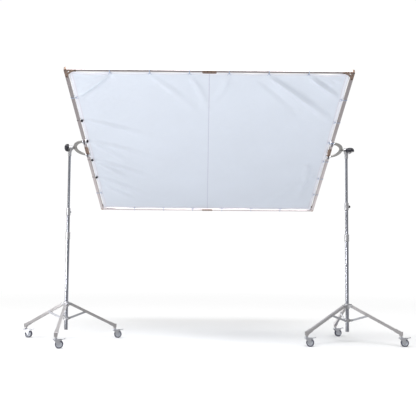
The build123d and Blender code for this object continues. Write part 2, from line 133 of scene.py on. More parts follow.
class Finish:
    """Builds the nodes of one material, or of a world."""

    def __init__(self, name, world=None):
        self.made = world or bpy.data.materials.new(name)
        self.made.use_nodes = True
        self.tree = self.made.node_tree
        self.tree.nodes.clear()

    def node(self, kind, settings=None, inputs=None, output=0):
        """One node: its settings first, then the values or wires of its inputs."""
        made = self.tree.nodes.new(kind)
        for key, value in (settings or {}).items():
            setattr(made, key, value)
        for key, value in (inputs or {}).items():
            if isinstance(value, Wire):
                self.tree.links.new(value.socket, made.inputs[key])
            else:
                made.inputs[key].default_value = value
        return Wire(self, made.outputs[output])

    def math(self, operation, *values):
        """One Math node."""
        return self.node("ShaderNodeMath", {"operation": operation}, dict(enumerate(values)))

    def place(self):
        """Object coordinates, which are the shared frame's metres."""
        return self.node("ShaderNodeTexCoord", output="Object")

    def uv(self):
        """The two distances across the cloth, in metres."""
        return self.axes(self.node("ShaderNodeUVMap", {"uv_map": "cloth"}))[:2]

    def axes(self, vector):
        """The three numbers of a vector."""
        x = self.node("ShaderNodeSeparateXYZ", inputs={0: vector})
        return x, Wire(self, x.socket.node.outputs[1]), Wire(self, x.socket.node.outputs[2])

    def stretched(self, scale):
        """Object coordinates, stretched."""
        return self.node("ShaderNodeMapping", {}, {"Vector": self.place(), "Scale": scale})

    def noise(self, vector, scale, detail=3.0, rough=0.5):
        """Soft noise from 0 to 1."""
        settings = {"Vector": vector, "Scale": scale, "Detail": detail, "Roughness": rough}
        return self.node("ShaderNodeTexNoise", {"normalize": True}, settings)

    def cloud(self, scale, detail=3.0, rough=0.5):
        """Noise on object coordinates."""
        return self.noise(self.place(), scale, detail, rough)

    def ramp(self, value, low, high):
        """0 below low and 1 above high."""
        span = {"Value": value, "From Min": low, "From Max": high}
        return self.node("ShaderNodeMapRange", {"clamp": True}, span)

    def mix(self, factor, first, second):
        """One colour turning into another."""
        pair = {"Factor": factor, 6: first, 7: second}
        return self.node("ShaderNodeMix", {"data_type": "RGBA"}, pair, output=2)

    def bump(self, height, distance, strength=1.0):
        """A normal that follows a height."""
        sizes = {"Height": height, "Distance": distance, "Strength": strength}
        return self.node("ShaderNodeBump", {}, sizes)

    def surface(self, **inputs):
        """The Principled shader; names with underscores are its sockets."""
        named = {key.replace("_", " "): value for key, value in inputs.items()}
        return self.node("ShaderNodeBsdfPrincipled", {}, named)

    def done(self, shader, output="ShaderNodeOutputMaterial"):
        """Sends a shader to the output and gives the material or world."""
        end = self.tree.nodes.new(output)
        self.tree.links.new(shader.socket, end.inputs[0])
        return self.made


def rgb(colour):
    """A colour with its alpha."""
    return (colour[0], colour[1], colour[2], 1.0)


def tinted(colour, factor):
    """A colour made darker or lighter."""
    return tuple(min(1.0, part * factor) for part in colour[:3]) + (1.0,)


# Finishes ----------------------------------------------------
def metal_finish(name, colour, rough, grain, wear=0.12, metallic=1.0, lift=0.00003):
    """Drawn or plated metal: fine lines along one axis, cloudy wear and a few dull marks."""
    make = Finish(name)
    lines = make.noise(make.stretched(grain), 1.0, 4.0, 0.65)
    cloud = make.cloud(9.0, 4.0, 0.6)
    marks = make.ramp(make.cloud(55.0, 5.0, 0.7), 0.6, 0.78)
    tone = make.mix(cloud * 0.6 + lines * 0.4, tinted(colour, 0.86), tinted(colour, 1.1))
    tone = make.mix(marks * 0.35, tone, tinted(colour, 0.62))
    roughness = rough + (lines - 0.5) * wear + (cloud - 0.5) * wear + marks * 0.1
    shader = make.surface(
        Base_Color=tone,
        Roughness=make.ramp(roughness, 0.0, 1.0),
        Metallic=metallic,
        Normal=make.bump(lines, lift),
    )
    return make.done(shader)


def paint_finish(name, colour, rough, speck=0.4):
    """Moulded or coated surface: fine grain, faint mottling and rubbed spots."""
    make = Finish(name)
    grain = make.cloud(900.0, 2.0, 0.6)
    mottle = make.cloud(30.0, 4.0, 0.6)
    rubbed = make.ramp(make.cloud(70.0, 5.0, 0.65), 0.62, 0.8)
    tone = make.mix(mottle, tinted(colour, 0.8), tinted(colour, 1.25))
    tone = make.mix(rubbed * speck, tone, tinted(colour, 1.9))
    shader = make.surface(
        Base_Color=tone,
        Roughness=make.ramp(rough + (mottle - 0.5) * 0.2 - rubbed * 0.12, 0.0, 1.0),
        Metallic=0.0,
        Normal=make.bump(grain, 0.00006),
    )
    return make.done(shader)


def plate_finish(name, colour, rough):
    """Brown passivated plate: patchy bronze over steel, with a rubbed sheen."""
    make = Finish(name)
    patch = make.cloud(38.0, 5.0, 0.65)
    fine = make.cloud(420.0, 3.0, 0.6)
    tone = make.mix(patch, tinted(colour, 0.72), tinted(colour, 1.3))
    shader = make.surface(
        Base_Color=tone,
        Roughness=make.ramp(rough + (patch - 0.5) * 0.25 + (fine - 0.5) * 0.1, 0.0, 1.0),
        Metallic=0.75,
        Normal=make.bump(fine, 0.00005),
    )
    return make.done(shader)


def cloth_finish(settings):
    """Thin white cloth that glows with light from behind: a plain weave, hems and a centre seam."""
    make = Finish("scrim_silk")
    u, v = make.uv()
    turns = tau / settings.weave
    weave = make.math("SINE", u * turns)
    weft = make.math("SINE", v * turns)
    threads = weave * weft * 0.5 + 0.5
    edge_u = EDGE - make.math("ABSOLUTE", u)
    edge_v = EDGE - make.math("ABSOLUTE", v)
    edge = make.math("MINIMUM", edge_u, edge_v)
    hem = 1 - make.ramp(edge, settings.hem - 0.001, settings.hem + 0.001)
    middle = make.math("ABSOLUTE", u)
    seam = 1 - make.ramp(middle, settings.seam / 2 - 0.001, settings.seam / 2 + 0.001)
    slub = make.noise(make.stretched((9, 160, 160)), 1.0)
    shade = make.cloud(2.2, 3.0, 0.5)
    double = make.math("MAXIMUM", hem, seam)
    tone = make.mix(shade, tinted(settings.colour, 0.96), tinted(settings.colour, 1.03))
    tone = make.mix(slub * 0.25, tone, tinted(settings.colour, 0.94))
    tone = make.mix(double * 0.5, tone, rgb(settings.hem_colour))
    fold = make.math("ABSOLUTE", edge - settings.hem)
    sewn = 1 - make.ramp(fold, 0.0015, 0.005)
    tone = make.mix(sewn * 0.32, tone, rgb(settings.thread))
    tone = make.mix((1 - make.ramp(middle, 0.0015, 0.0045)) * 0.55, tone, rgb(settings.seam_colour))
    normal = make.bump(threads + slub * 0.6, 0.00012, 0.6)
    cloth = make.surface(Base_Color=tone, Roughness=0.72 - threads * 0.12, Metallic=0.0, Normal=normal)
    glow = make.node("ShaderNodeBsdfTranslucent", {}, {"Color": tone, "Normal": normal})
    through = 0.42 - double * 0.18
    shader = make.node("ShaderNodeMixShader", {}, {0: through, 1: cloth, 2: glow})
    return make.done(shader)


def cord_finish(name, colour):
    """Braided cord: crossing plaits and a slightly fuzzy roughness."""
    make = Finish(name)
    x, y, z = make.axes(make.place())
    plait = make.math("SINE", (x + y * 0.7 + z * 1.3) * 2600.0)
    other = make.math("SINE", (x - y * 0.7 - z * 1.3) * 2600.0)
    braid = plait * other * 0.5 + 0.5
    tone = make.mix(braid, tinted(colour, 0.78), tinted(colour, 1.12))
    shader = make.surface(
        Base_Color=tone, Roughness=0.6 + braid * 0.15, Metallic=0.0, Normal=make.bump(braid, 0.0003)
    )
    return make.done(shader)


def rubber_finish(name, colour):
    """Grey-black rubber: dusty patches and a fine mould grain."""
    make = Finish(name)
    dust = make.cloud(45.0, 5.0, 0.65)
    grain = make.cloud(1200.0, 2.0, 0.6)
    tone = make.mix(make.ramp(dust, 0.4, 0.75), rgb(colour), tinted(colour, 2.6))
    shader = make.surface(
        Base_Color=tone, Roughness=0.6 + dust * 0.25, Metallic=0.0, Normal=make.bump(grain, 0.00008)
    )
    return make.done(shader)


# Mesh helpers ------------------------------------------------
def placed(name, data):
    """An object in the scene with this mesh, lamp or camera."""
    made = bpy.data.objects.new(name, data)
    bpy.context.scene.collection.objects.link(made)
    return made


def mesh_object(name, vertices, faces, material=None, smooth=True):
    """A mesh piece at the origin, with its place in its mesh."""
    mesh = bpy.data.meshes.new(name)
    mesh.from_pydata([tuple(v) for v in vertices], [], faces)
    mesh.update()
    if smooth:
        mesh.polygons.foreach_set("use_smooth", [True] * len(mesh.polygons))
    if material:
        mesh.materials.append(material)
    return placed(name, mesh)


def turned_profile(profile, steps, place):
    """Vertices and faces of a closed profile [(radius, along)] turned about Z, then placed."""
    count = len(profile)
    vertices = []
    for step in range(steps):
        angle = tau * step / steps
        for radius, along in profile:
            vertices.append(place @ Vector((radius * cos(angle), radius * sin(angle), along)))
    faces = []
    for step in range(steps):
        after = (step + 1) % steps
        for k in range(count):
            nxt = (k + 1) % count
            faces.append((step * count + k, after * count + k, after * count + nxt, step * count + nxt))
    return vertices, faces


def cord_mesh(points, radius, closed, sides=8):
    """Vertices and faces of a round cord along points."""
    points = [Vector(p) for p in points]
    count = len(points)
    tangents = []
    for k in range(count):
        before = points[(k - 1) % count] if closed or k else points[k]
        after = points[(k + 1) % count] if closed or k < count - 1 else points[k]
        tangents.append((after - before).normalized())
    side = tangents[0].orthogonal().normalized()
    vertices = []
    for k in range(count):
        side = (side - tangents[k] * side.dot(tangents[k])).normalized()
        up = tangents[k].cross(side)
        for s in range(sides):
            angle = tau * s / sides
            vertices.append(points[k] + (side * cos(angle) + up * sin(angle)) * radius)
    faces = []
    for k in range(count if closed else count - 1):
        after = (k + 1) % count
        for s in range(sides):
            nxt = (s + 1) % sides
            faces.append((k * sides + s, k * sides + nxt, after * sides + nxt, after * sides + s))
    if not closed:
        faces.append(tuple(reversed(range(sides))))
        faces.append(tuple((count - 1) * sides + s for s in range(sides)))
    return vertices, faces


def joined(parts):
    """Several (vertices, faces) as one."""
    vertices, faces = [], []
    for more, sides in parts:
        start = len(vertices)
        vertices += more
        faces += [tuple(start + k for k in side) for side in sides]
    return vertices, faces


def grid_faces(count):
    """Faces of a square grid with count points along each side."""
    corners = [(j * count + i, (j + 1) * count + i) for j in range(count - 1) for i in range(count - 1)]
    return [(low, low + 1, high + 1, high) for low, high in corners]


# Geometry Nodes ----------------------------------------------
def node_group(name, sockets):
    """A geometry tree with named inputs (name, type, default) and its input and output nodes."""
    tree = bpy.data.node_groups.new(name, "GeometryNodeTree")
    tree.interface.new_socket("Geometry", in_out="INPUT", socket_type="NodeSocketGeometry")
    for label, kind, default in sockets:
        socket = tree.interface.new_socket(label, in_out="INPUT", socket_type=kind)
        if default is not None:
            socket.default_value = default
    tree.interface.new_socket("Geometry", in_out="OUTPUT", socket_type="NodeSocketGeometry")
    return tree, tree.nodes.new("NodeGroupInput"), tree.nodes.new("NodeGroupOutput")


def finish_tree(tree, geometry, given, output):
    """Ends a tree: instances made real, then the material set."""
    real = tree.nodes.new("GeometryNodeRealizeInstances")
    painted = tree.nodes.new("GeometryNodeSetMaterial")
    tree.links.new(geometry, real.inputs[0])
    tree.links.new(real.outputs[0], painted.inputs[0])
    tree.links.new(given.outputs["Material"], painted.inputs["Material"])
    tree.links.new(painted.outputs[0], output.inputs[0])


def spread_tree(name, sockets, build):
    """A tree that puts one shape on every point, turned by the points' "turn" attribute."""
    tree, given, output = node_group(name, sockets + [("Material", "NodeSocketMaterial", None)])
    turn = tree.nodes.new("GeometryNodeInputNamedAttribute")
    turn.data_type = "FLOAT_VECTOR"
    turn.inputs[0].default_value = "turn"
    place = tree.nodes.new("GeometryNodeInstanceOnPoints")
    tree.links.new(given.outputs["Geometry"], place.inputs["Points"])
    tree.links.new(build(tree, given), place.inputs["Instance"])
    tree.links.new(turn.outputs[0], place.inputs["Rotation"])
    finish_tree(tree, place.outputs[0], given, output)
    return tree


def ring_shape(tree, given):
    """A ring of round wire."""
    path = tree.nodes.new("GeometryNodeCurvePrimitiveCircle")
    path.inputs["Resolution"].default_value = 28
    section = tree.nodes.new("GeometryNodeCurvePrimitiveCircle")
    section.inputs["Resolution"].default_value = 8
    swept = tree.nodes.new("GeometryNodeCurveToMesh")
    smooth = tree.nodes.new("GeometryNodeSetShadeSmooth")
    tree.links.new(given.outputs["Ring Radius"], path.inputs["Radius"])
    tree.links.new(given.outputs["Wire Radius"], section.inputs["Radius"])
    tree.links.new(path.outputs[0], swept.inputs["Curve"])
    tree.links.new(section.outputs[0], swept.inputs["Profile Curve"])
    tree.links.new(swept.outputs[0], smooth.inputs[0])
    return smooth.outputs[0]


def stitch_shape(tree, given):
    """One stitch: a short fat thread lying along X."""
    ball = tree.nodes.new("GeometryNodeMeshUVSphere")
    ball.inputs["Segments"].default_value = 6
    ball.inputs["Rings"].default_value = 4
    stretch = tree.nodes.new("GeometryNodeTransform")
    scale = tree.nodes.new("ShaderNodeCombineXYZ")
    tree.links.new(given.outputs["Length"], scale.inputs[0])
    tree.links.new(given.outputs["Thickness"], scale.inputs[1])
    tree.links.new(given.outputs["Thickness"], scale.inputs[2])
    tree.links.new(ball.outputs[0], stretch.inputs["Geometry"])
    tree.links.new(scale.outputs[0], stretch.inputs["Scale"])
    return stretch.outputs[0]


def object_shape(tree, given):
    """A shape that another object gives."""
    info = tree.nodes.new("GeometryNodeObjectInfo")
    tree.links.new(given.outputs["Shape"], info.inputs["Object"])
    return info.outputs["Geometry"]


def points_object(name, matrices):
    """Points with a "turn" attribute, from matrices."""
    mesh = bpy.data.meshes.new(name)
    mesh.from_pydata([tuple(m.translation) for m in matrices], [], [])
    turns = mesh.attributes.new("turn", "FLOAT_VECTOR", "POINT")
    for k, matrix in enumerate(matrices):
        turns.data[k].vector = matrix.to_euler()
    return placed(name, mesh)


def grown(name, source, tree, values, body):
    """Runs a tree on an object, keeps the result as a plain mesh piece and rides it on a body."""
    modifier = source.modifiers.new("grow", "NODES")
    modifier.node_group = tree
    for item in tree.interface.items_tree:
        if item.in_out == "INPUT" and item.name in values:
            modifier[item.identifier] = values[item.name]
    source.update_tag()
    bpy.context.view_layer.update()
    graph = bpy.context.evaluated_depsgraph_get()
    mesh = bpy.data.meshes.new_from_object(source.evaluated_get(graph), depsgraph=graph)
    mesh.name = name
    bpy.data.objects.remove(source)
    piece = placed(name, mesh)
    if "turn" in mesh.attributes:
        mesh.attributes.remove(mesh.attributes["turn"])
    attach(piece, body)
    return piece


# Cloth -------------------------------------------------------
def cloth_lines(settings):
    """Grid lines across the cloth: even between the grommets, with one more at each hem edge."""
    count = SPACES * settings.cells
    inner = [-GROMMETS_OUT + 2 * GROMMETS_OUT * k / count for k in range(count + 1)]
    return [-EDGE] + inner + [EDGE]


# long folds that the ties pull: start and end on the flat frame, height, width
PULLED_FOLDS = [
    ((-0.167, 1.15), (-0.02, 0.70), 0.018, 0.036),
    ((0.167, 1.15), (0.02, 0.78), 0.018, 0.032),
    ((-0.501, 1.15), (-0.10, 0.62), 0.012, 0.043),
    ((0.501, 1.15), (1.14, 0.50), 0.034, 0.036),
    ((0.42, 1.10), (0.95, 0.42), -0.012, 0.043),
    ((0.835, 1.15), (1.15, 0.835), 0.034, 0.028),
    ((0.93, 1.15), (1.10, 0.98), 0.016, 0.018),
    ((1.02, 1.14), (1.15, 1.03), 0.014, 0.014),
    ((-1.15, 0.501), (-0.62, 0.28), 0.018, 0.032),
    ((-1.15, 0.167), (-0.55, -0.12), 0.018, 0.032),
    ((-1.15, 0.12), (-0.80, -0.22), 0.015, 0.025),
    ((-1.15, -0.167), (-0.58, -0.52), 0.018, 0.032),
    ((-1.15, -0.22), (-0.85, -0.55), 0.015, 0.025),
    ((-1.15, -0.501), (-0.70, -0.86), 0.020, 0.032),
    ((-1.12, -0.70), (-0.80, -1.02), 0.018, 0.029),
    ((1.02, -0.20), (0.98, -1.02), 0.024, 0.050),
    ((1.13, -0.40), (0.62, -1.10), 0.015, 0.050),
]


# straight taut folds that reach from one grommet to another, with their height and width
TAUT_FOLDS = [
    ((-0.84, 1.165), (-1.165, 0.84), 0.034, 0.022),
    ((0.835, 1.165), (1.165, 0.835), 0.006, 0.020),
]
# the dip beside a taut fold: its distance, width and depth as shares of the crest's
DIP_ASIDE, DIP_WIDTH, DIP_DEPTH = 2.2, 1.5, 0.6
FOLD_RISE = 0.06  # a pulled fold reaches its height this far from its tie
FOLD_HOLD = 0.45  # share of its length over which it keeps that height
FOLD_FADE = 0.42  # share over which it then dies away
FOLD_SWAY = 0.02  # how far it bends aside
RIPPLE = 0.0012  # height of the faint ripples
EDGE_FADE = 0.05  # folds and ripples start this far inside the grommets
SETTLE_WEIGHT = 40  # extra weight of the grid points, so that few steps settle them
PULL_REACH = 0.3  # the scalloped edge is felt this far into the cloth
SCALLOPS = (0.002, 0.004, 0.001)  # depths that repeat along an edge
TOP_SCALLOP, SIDE_SCALLOP = 0.009, 0.004
CORNER_SCALLOPS = {"top": 0.020, "bottom": 0.008}
HEM_STITCH, SEAM_STITCH = 0.003, 0.002  # from the edge of the doubled cloth to its stitches
THREAD = 0.00055  # half thickness of a stitch


def taut_height(x, y):
    """Height of the straight folds over a point of the flat cloth: a crest with a dip beside it."""
    total = 0.0
    for (x0, y0), (x1, y1), height, width in TAUT_FOLDS:
        length = hypot(x1 - x0, y1 - y0)
        share = ((x - x0) * (x1 - x0) + (y - y0) * (y1 - y0)) / length ** 2
        side = ((x - x0) * (y1 - y0) - (y - y0) * (x1 - x0)) / length
        if 0 < share < 1:
            dip = exp(-(((side + DIP_ASIDE * width) / (DIP_WIDTH * width)) ** 2))
            crest = exp(-((side / width) ** 2)) - DIP_DEPTH * dip
            total += height * crest * sin(pi * share) ** 0.5
    return total


def fold_height(x, y):
    """Height of the pulled folds over a point of the flat cloth."""
    total = taut_height(x, y)
    for (x0, y0), (x1, y1), height, width in PULLED_FOLDS:
        length = hypot(x1 - x0, y1 - y0)
        along = ((x - x0) * (x1 - x0) + (y - y0) * (y1 - y0)) / length
        side = ((x - x0) * (y1 - y0) - (y - y0) * (x1 - x0)) / length
        share = along / length
        if -0.05 < share < 1.3:
            fade = exp(-((max(share - FOLD_HOLD, 0) / FOLD_FADE) ** 2))
            fade *= min(1.0, max(0.0, along / FOLD_RISE))
            wide = width * (0.35 + 0.8 * max(share, 0))
            bend = side + FOLD_SWAY * sin(3 * share)
            total += height * fade * exp(-((bend / wide) ** 2))
    return total


def simulate(piece, settings):
    """Hangs the cloth from its pinned grommets under its own weight."""
    cloth = piece.modifiers.new("hang", "CLOTH")
    rules = cloth.settings
    rules.quality = 6
    rules.mass = settings.weight * (CLOTH / len(cloth_lines(settings))) ** 2 * SETTLE_WEIGHT
    rules.tension_stiffness = 30
    rules.compression_stiffness = 4
    rules.shear_stiffness = 3
    rules.bending_stiffness = 0.05
    rules.tension_damping = 15
    rules.compression_damping = 15
    rules.shear_damping = 15
    rules.air_damping = 4
    rules.vertex_group_mass = "pinned"
    rules.rest_shape_key = piece.data.shape_keys.key_blocks["cut"]
    cloth.point_cache.frame_start = 1
    cloth.point_cache.frame_end = settings.frames
    cloth.collision_settings.use_collision = False
    for step in range(1, settings.frames + 1):
        bpy.context.scene.frame_set(step)
    graph = bpy.context.evaluated_depsgraph_get()
    result = piece.evaluated_get(graph).to_mesh()
    points = np.zeros(len(result.vertices) * 3)
    result.vertices.foreach_get("co", points)
    piece.evaluated_get(graph).to_mesh_clear()
    piece.modifiers.clear()
    bpy.context.scene.frame_set(1)
    return points.reshape(-1, 3)


def hung_cloth(settings):
    """The cloth's mid surface as an array of points, row by row, in the flat frame."""
    lines = cloth_lines(settings)
    count = len(lines)
    last = count - 2
    slack = 1 + settings.slack
    start, cut, pins = [], [], []
    for j, y in enumerate(lines):
        for i, x in enumerate(lines):
            wave = 0.004 * noise.noise(Vector((x * 2.1, y * 2.1, 3.7)))
            start.append(FLAT @ Vector((x, y, 0.002 + wave)))
            cut.append(FLAT @ Vector((x * slack, y * slack, 0)))
            on_i = i in (1, last) and (j - 1) % settings.cells == 0 and 1 <= j <= last
            on_j = j in (1, last) and (i - 1) % settings.cells == 0 and 1 <= i <= last
            if on_i or on_j:
                pins.append(j * count + i)
                start[-1] = FLAT @ Vector((x, y, 0))
    piece = mesh_object("cloth_try", start, grid_faces(count))
    group = piece.vertex_groups.new(name="pinned")
    group.add(pins, 1.0, "REPLACE")
    piece.shape_key_add(name="Basis")
    key = piece.shape_key_add(name="cut")
    for k, point in enumerate(cut):
        key.data[k].co = point
    points = simulate(piece, settings)
    bpy.data.objects.remove(piece)
    back = np.array(FLAT.inverted())
    flat = points @ back[:3, :3].T + back[:3, 3]
    return lines, flat.reshape(count, count, 3)


def scallop(run, side):
    """How far the cloth's edge is drawn in between two grommets, most of all next to a corner."""
    share = (run + GROMMETS_OUT) / PITCH
    if share < 0 or share > SPACES:
        return 0.0
    depth = SCALLOPS[int(share) % len(SCALLOPS)]
    if share < 1 or share > SPACES - 1:
        depth = CORNER_SCALLOPS.get(side, SIDE_SCALLOP)
    elif side == "top":
        depth = TOP_SCALLOP
    return depth * sin(pi * (share - int(share))) ** 2


def draw_in(lines, grid):
    """Pulls each edge in between its grommets; the pull dies away inside the cloth."""
    for j, y in enumerate(lines):
        for i, x in enumerate(lines):
            for side, out, run, axis in (
                ("top", EDGE - y, x, 1),
                ("bottom", EDGE + y, x, 1),
                ("right", EDGE - x, y, 0),
                ("left", EDGE + x, y, 0),
            ):
                if out < PULL_REACH:
                    sign = 1 if side in ("bottom", "left") else -1
                    grid[j, i, axis] += sign * scallop(run, side) * (1 - out / PULL_REACH) ** 2


def sculpt_folds(lines, grid):
    """Adds the pulled folds and faint ripples, fading to nothing at the grommet lines."""
    for j, y in enumerate(lines):
        for i, x in enumerate(lines):
            edge = min(GROMMETS_OUT - abs(x), GROMMETS_OUT - abs(y))
            fade = min(1.0, max(0.0, edge / EDGE_FADE))
            ripple = RIPPLE * noise.noise(Vector((x * 5, y * 9, 1.3)))
            grid[j, i, 2] += (fold_height(x, y) + ripple) * fade


class ClothSettings(bpy.types.PropertyGroup):
    cells: IntProperty(name="Cells", description="Grid cells between two grommets", default=15, min=4)
    frames: IntProperty(name="Frames", description="Steps that the cloth hangs for", default=40, min=2)
    slack: amount_of("Slack", "Extra cloth over its span", 0.0015)
    weight: amount_of("Weight", "Kilograms in a square metre", 0.09)
    hem: length_of("Hem", "Width of the hem", 0.028)
    seam: length_of("Seam", "Width of the centre seam", 0.012)
    weave: length_of("Weave", "Size of one thread crossing", 0.0022)
    thickness: length_of("Thickness", "Thickness of the cloth", 0.0006)
    stitch: length_of("Stitch", "Distance between stitches", 0.007)
    colour: colour_of("Cloth", "Colour of the cloth", (0.735, 0.77, 0.828))
    hem_colour: colour_of("Hem", "Colour of the doubled cloth", (0.80, 0.80, 0.86))
    seam_colour: colour_of("Seam line", "Colour of the centre seam", (0.38, 0.44, 0.56))
    thread: colour_of("Thread", "Colour of the stitches", (0.62, 0.54, 0.60))


def grid_point(lines, grid, x, y):
    """Place and normal of the hung cloth at a point of the flat cloth."""
    steps = np.array(lines)
    i = int(min(max(np.searchsorted(steps, x) - 1, 0), len(lines) - 2))
    j = int(min(max(np.searchsorted(steps, y) - 1, 0), len(lines) - 2))
    s = (x - lines[i]) / (lines[i + 1] - lines[i])
    t = (y - lines[j]) / (lines[j + 1] - lines[j])
    a, b, c, d = grid[j, i], grid[j, i + 1], grid[j + 1, i], grid[j + 1, i + 1]
    point = a * (1 - s) * (1 - t) + b * s * (1 - t) + c * (1 - s) * t + d * s * t
    along = Vector((b - a) * (1 - t) + (d - c) * t).normalized()
    upward = Vector((c - a) * (1 - s) + (d - b) * s).normalized()
    return Vector(point), along.cross(upward).normalized(), along, upward


def stitch_rows(settings):
    """Where the stitches lie on the flat cloth: (x, y, runs upward)."""
    inner = EDGE - settings.hem + HEM_STITCH
    steps = int(2 * inner / settings.stitch)
    for k in range(steps):
        run = -inner + settings.stitch * (k + 0.5)
        for side in (-inner, inner):
            yield run, side, False
            yield side, run, True
        for side in (-settings.seam / 2 + SEAM_STITCH, settings.seam / 2 - SEAM_STITCH):
            yield side, run, True


def sewn_stitches(settings, lines, grid):
    """Stitches on the lower face of the hung cloth, as one piece."""
    places = []
    lift = settings.thickness + 0.0002
    for x, y, upright in stitch_rows(settings):
        point, normal, along, upward = grid_point(lines, grid, x, y)
        run = upward if upright else along
        side = normal.cross(run).normalized()
        turn = Matrix((run, side, normal)).transposed().to_4x4()
        places.append(FLAT @ Matrix.Translation(point + normal * lift) @ turn)
    sizes = [("Length", "NodeSocketFloat", 0.0024), ("Thickness", "NodeSocketFloat", 0.0005)]
    tree = spread_tree("stitches", sizes, stitch_shape)
    values = {"Length": settings.stitch * 0.36, "Thickness": THREAD}
    values["Material"] = cord_finish("sewing_thread", settings.thread)
    source = points_object("stitch_places", places)
    return grown("scrim_stitches", source, tree, values, "frame")


class SCRIM_OT_cloth(bpy.types.Operator):
    """Hang the cloth, fold it and sew its hems and seam"""

    bl_idname = "scrim.cloth"
    bl_label = "Cloth"

    def execute(self, context):
        settings = context.scene.scrim_cloth
        lines, grid = hung_cloth(settings)
        sculpt_folds(lines, grid)
        draw_in(lines, grid)
        count = len(lines)
        points = [FLAT @ Vector(p) for p in grid.reshape(-1, 3)]
        cloth = mesh_object("scrim_cloth", points, grid_faces(count), cloth_finish(settings))
        layer = cloth.data.uv_layers.new(name="cloth")
        for loop in cloth.data.loops:
            j, i = divmod(loop.vertex_index, count)
            layer.data[loop.index].uv = (lines[i], lines[j])
        double = cloth.vertex_groups.new(name="double")
        for j, y in enumerate(lines):
            for i, x in enumerate(lines):
                if EDGE - max(abs(x), abs(y)) < settings.hem:
                    double.add([j * count + i], 1.0, "REPLACE")
        smooth = cloth.modifiers.new("round", "SUBSURF")
        smooth.levels = 1
        smooth.render_levels = 1
        thick = cloth.modifiers.new("thickness", "SOLIDIFY")
        thick.thickness = settings.thickness * 2
        thick.offset = 0
        thick.vertex_group = "double"
        thick.thickness_vertex_group = 0.5
        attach(cloth, "frame")
        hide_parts("scrim_fabric")
        stitches = sewn_stitches(settings, lines, grid)
        return {"FINISHED"}


# Grommets and ties -------------------------------------------
def grommet_frame(x, y):
    """A grommet's own frame on the flat frame: Y out to the tube, Z out of the lower face."""
    if abs(y) >= abs(x):
        turn = 0 if y > 0 else pi
    else:
        turn = -pi / 2 if x > 0 else pi / 2
    return FLAT @ Matrix.Translation((x, y, 0)) @ Matrix.Rotation(turn, 4, "Z")


def edge_places(edge, runs):
    """Grommet frames along one edge."""
    out = GROMMETS_OUT
    spots = {"top": lambda r: (r, out), "bottom": lambda r: (r, -out)}
    spots["left"] = lambda r: (-out, r)
    spots["right"] = lambda r: (out, r)
    return [grommet_frame(*spots[edge](run)) for run in runs]


CORD_GAP = 0.0003  # between a cord and the tube
KNOT_OUT, KNOT_OFF = 0.006, 0.0075  # a knot's middle: towards the tube, and off the cloth


def tube_loop(radius, sway, steps=5):
    """A cord's closed path round the square tube and through the grommet, in a grommet's frame."""
    half = TUBE / 2 + radius + CORD_GAP
    far = TUBE_MID + half
    near = TUBE_MID - half
    bend = 0.0035
    corners = [(far - bend, half - bend, 0), (far - bend, -half + bend, -90)]
    path = []
    for cy, cz, first in corners:
        for k in range(steps):
            angle = radians(first + 90 - 90 * k / (steps - 1))
            path.append((cy + bend * cos(angle), cz + bend * sin(angle)))
    path += [(near, -half), (near * 0.55, -half * 0.82), (0.004, -0.006), (0.0, 0.0), (0.004, 0.006)]
    path += [(near * 0.55, half * 0.82), (near, half)]
    shaped = []
    for k, (y, z) in enumerate(path):
        shaped.append(Vector((sway * sin(tau * k / len(path)), y, z)))
    return shaped


def strands(radius, apart, sway):
    """Two strands side by side round the tube, each lying apart from the grommet's middle."""
    made = []
    for aside in (-apart, apart):
        path = tube_loop(radius, aside * sway)
        made.append(cord_mesh([point + Vector((aside, 0, 0)) for point in path], radius, True))
    return made


def tied_knot(cord):
    """Two small rings of cord, wound across each other over the grommet."""
    wide, high, steps = 0.0045, 0.0035, 14
    made = []
    for tilt in (0.4, -0.5):
        ring = []
        for step in range(steps):
            angle = tau * step / steps
            rise = high * sin(angle)
            out, off = KNOT_OUT + rise * cos(tilt), KNOT_OFF + rise * sin(tilt)
            ring.append((wide * cos(angle), out, off))
        made.append(cord_mesh(ring, cord, True))
    return made


def loose_ends(cord):
    """The two ends of a tie, curling away from its knot."""
    made = []
    for side in (-1, 1):
        run = []
        for t in [step / 8 for step in range(9)]:
            run.append((side * (0.003 + 0.012 * t), KNOT_OUT - 0.02 * t * t, 0.008 + 0.004 * sin(3 * t)))
        made.append(cord_mesh(run, cord * 0.9, False))
    return made


def ball_mesh(centre, radius, rings=10, segments=18):
    """A ball with a small bore along Y, as turned profile."""
    profile = [(0.0016, -radius * 0.97)]
    for k in range(1, rings):
        angle = -pi / 2 + pi * k / rings
        profile.append((radius * cos(angle), radius * sin(angle)))
    profile.append((0.0016, radius * 0.97))
    place = Matrix.Translation(centre) @ Matrix.Rotation(pi / 2, 4, "X")
    return turned_profile(profile, segments, place)


class TieSettings(bpy.types.PropertyGroup):
    ball: length_of("Ball", "Radius of a ball", 0.0125)
    elastic: length_of("Elastic", "Radius of the elastic", 0.0013)
    cord: length_of("Cord", "Radius of a tie cord", 0.0017)
    ring: length_of("Grommet", "Radius of a grommet", 0.0072)
    wire: length_of("Rim", "Half thickness of a grommet's rim", 0.0021)
    black: colour_of("Ball colour", "Colour of the balls", (0.012, 0.012, 0.018))
    elastic_colour: colour_of("Elastic colour", "Colour of the elastic", (0.30, 0.27, 0.28))
    pale: colour_of("Cord colour", "Colour of the cords", (0.42, 0.50, 0.66))
    brass: colour_of("Grommet colour", "Colour of the grommets", (0.55, 0.53, 0.55))


